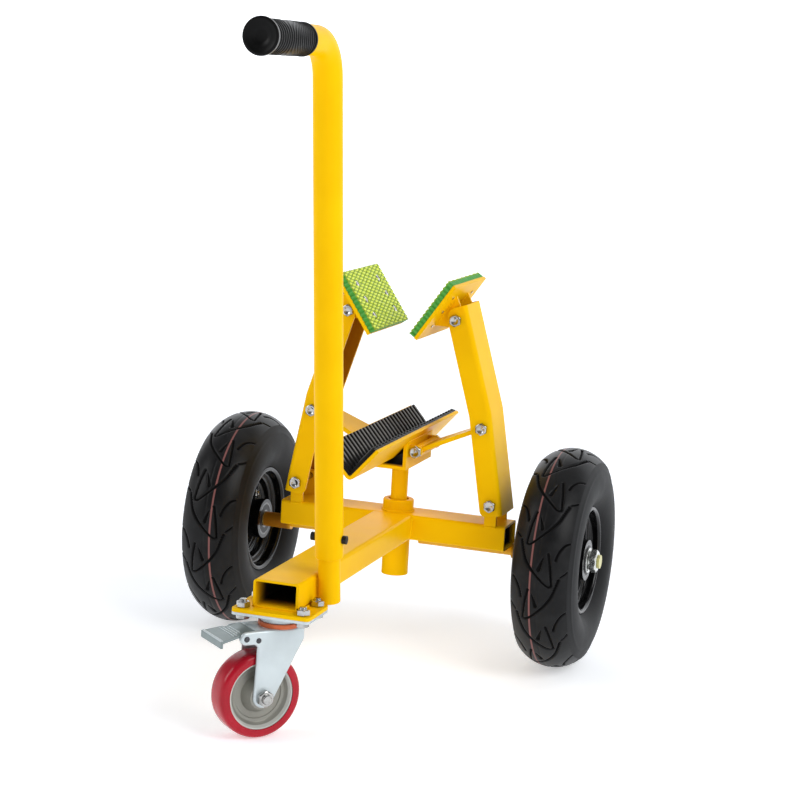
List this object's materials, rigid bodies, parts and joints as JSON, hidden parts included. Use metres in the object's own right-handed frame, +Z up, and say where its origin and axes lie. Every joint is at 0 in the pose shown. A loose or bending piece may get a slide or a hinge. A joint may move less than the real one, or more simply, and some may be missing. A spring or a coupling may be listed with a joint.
{
  "type": "self-clamping panel dolly",
  "caption": "Low dolly that carries a sheet of glass on edge: a sprung V shoe closes two padded arms on the panel, with pneumatic wheels, a braked caster and an upright steering handle.",
  "frame": {"origin": "on the floor, at the middle of the whole length and width", "axes": "+Z up, -Y towards the drawbar's caster and the grip, +X to the side that carries the handle"},
  "size_m": [0.4956, 0.7556, 0.7387],
  "materials": {
    "yellow_paint": "glossy powder coat",
    "bright_bolts": "bright zinc plate",
    "zinc_sheet": "blue zinc plate",
    "plain_steel": "oiled steel",
    "bush_bronze": "machined",
    "black_oxide": "black oxide",
    "grip_rubber": "matt moulded",
    "mat_rubber": "satin ribbed",
    "pad_rubber": "knurled soft face",
    "tyre_rubber": "satin moulded tread",
    "tube_rubber": "smooth",
    "rim_enamel": "gloss enamel",
    "caster_red": "glossy polyurethane",
    "caster_grey": "cast and turned",
    "seal_orange": "satin"
  },
  "bodies": {
    "frame": {"cross_tube": "yellow_paint", "drawbar": "yellow_paint", "post_sleeve": "yellow_paint", "sleeve_collar": "yellow_paint", "sleeve_cap": "yellow_paint", "guide_bush": "bush_bronze", "return_spring": "plain_steel", "arm_lugs": "yellow_paint", "axle": "yellow_paint", "axle_fasteners": "bright_bolts", "handle_spigot": "yellow_paint", "handle_tube": "yellow_paint", "handle_grip": "grip_rubber", "handle_clamp_screws": "black_oxide", "caster_mount_plate": "yellow_paint", "caster_plate_fasteners": "bright_bolts", "caster_top_plate": "zinc_sheet", "caster_kingpin": "zinc_sheet"},
    "shoe": {"shoe_post": "yellow_paint", "post_foot": "plain_steel", "spring_rod": "plain_steel", "shoe_bracket": "yellow_paint", "shoe_plate": "yellow_paint", "left_shoe_mat": "mat_rubber", "right_shoe_mat": "mat_rubber", "shoe_link_fasteners": "bright_bolts"},
    "caster_swivel": {"caster_fork": "zinc_sheet", "swivel_seal": "seal_orange", "caster_axle": "bright_bolts", "pedal_pin": "bright_bolts"},
    "caster_wheel": {"caster_tread": "caster_red", "caster_core": "caster_grey"},
    "brake": {"brake_pedal": "zinc_sheet"},
    "left_arm": {"left_arm": "yellow_paint", "left_arm_fasteners": "bright_bolts"},
    "left_link": {"left_link": "yellow_paint"},
    "left_pad": {"left_pad_plate": "yellow_paint", "left_pad_rubber": "pad_rubber", "left_pad_screws": "bright_bolts"},
    "left_wheel": {"left_tyre": "tyre_rubber", "left_inner_tube": "tube_rubber", "left_rim_outer_half": "rim_enamel", "left_rim_inner_half": "rim_enamel", "left_hub": "rim_enamel", "left_wheel_bearings": "plain_steel", "left_rim_bolts": "bright_bolts"},
    "right_arm": {"right_arm": "yellow_paint", "right_arm_fasteners": "bright_bolts"},
    "right_link": {"right_link": "yellow_paint"},
    "right_pad": {"right_pad_plate": "yellow_paint", "right_pad_rubber": "pad_rubber", "right_pad_screws": "bright_bolts"},
    "right_wheel": {"right_tyre": "tyre_rubber", "right_inner_tube": "tube_rubber", "right_rim_outer_half": "rim_enamel", "right_rim_inner_half": "rim_enamel", "right_hub": "rim_enamel", "right_wheel_bearings": "plain_steel", "right_rim_bolts": "bright_bolts"}
  },
  "joints": [
    {"name": "shoe_slide", "type": "slide", "parent": "frame", "child": "shoe", "axis": [0, 0, -1], "range_m": [0, 0.014], "stiffness_N_per_m": 3000, "springref_m": -0.02, "deforming": ["return_spring"]},
    {"name": "left_arm_hinge", "type": "hinge", "parent": "frame", "child": "left_arm", "pos_m": [-0.1215, 0.2318, 0.1901], "axis": [0, 1, 0], "range_deg": [0, 4.48]},
    {"name": "left_link_hinge", "type": "hinge", "parent": "shoe", "child": "left_link", "pos_m": [-0.03, 0.2318, 0.2461], "axis": [0, 1, 0], "range_deg": [0, 9.91]},
    {"name": "left_pad_swing", "type": "hinge", "parent": "left_arm", "child": "left_pad", "pos_m": [-0.066, 0.2318, 0.4041], "axis": [0, 1, 0], "range_deg": [0, 40]},
    {"name": "left_wheel_spin", "type": "hinge", "parent": "frame", "child": "left_wheel", "pos_m": [-0.204, 0.2478, 0.13], "axis": [1, 0, 0], "continuous": true},
    {"name": "right_arm_hinge", "type": "hinge", "parent": "frame", "child": "right_arm", "pos_m": [0.1215, 0.2318, 0.1901], "axis": [0, -1, 0], "range_deg": [0, 4.48]},
    {"name": "right_link_hinge", "type": "hinge", "parent": "shoe", "child": "right_link", "pos_m": [0.03, 0.2318, 0.2461], "axis": [0, -1, 0], "range_deg": [0, 9.91]},
    {"name": "right_pad_swing", "type": "hinge", "parent": "right_arm", "child": "right_pad", "pos_m": [0.066, 0.2318, 0.4041], "axis": [0, -1, 0], "range_deg": [0, 40]},
    {"name": "right_wheel_spin", "type": "hinge", "parent": "frame", "child": "right_wheel", "pos_m": [0.204, 0.2478, 0.13], "axis": [1, 0, 0], "continuous": true},
    {"name": "caster_turn", "type": "hinge", "parent": "frame", "child": "caster_swivel", "pos_m": [0, -0.1551, 0.1174], "axis": [0, 0, 1], "continuous": true},
    {"name": "caster_wheel_spin", "type": "hinge", "parent": "caster_swivel", "child": "caster_wheel", "pos_m": [-0.01624, -0.17277, 0.046], "axis": [0.7361, -0.6769, 0], "continuous": true},
    {"name": "brake_pedal_tip", "type": "hinge", "parent": "caster_swivel", "child": "brake", "pos_m": [-0.03148, -0.18933, 0.1099], "axis": [0.7361, -0.6769, 0], "range_deg": [0, 12]}
  ],
  "couplings": [
    {"joint": "left_arm_hinge", "follows": "shoe_slide", "rad_per_m": 5.5777},
    {"joint": "left_link_hinge", "follows": "shoe_slide", "rad_per_m": 12.345},
    {"joint": "right_arm_hinge", "follows": "shoe_slide", "rad_per_m": 5.5777},
    {"joint": "right_link_hinge", "follows": "shoe_slide", "rad_per_m": 12.345}
  ]
}
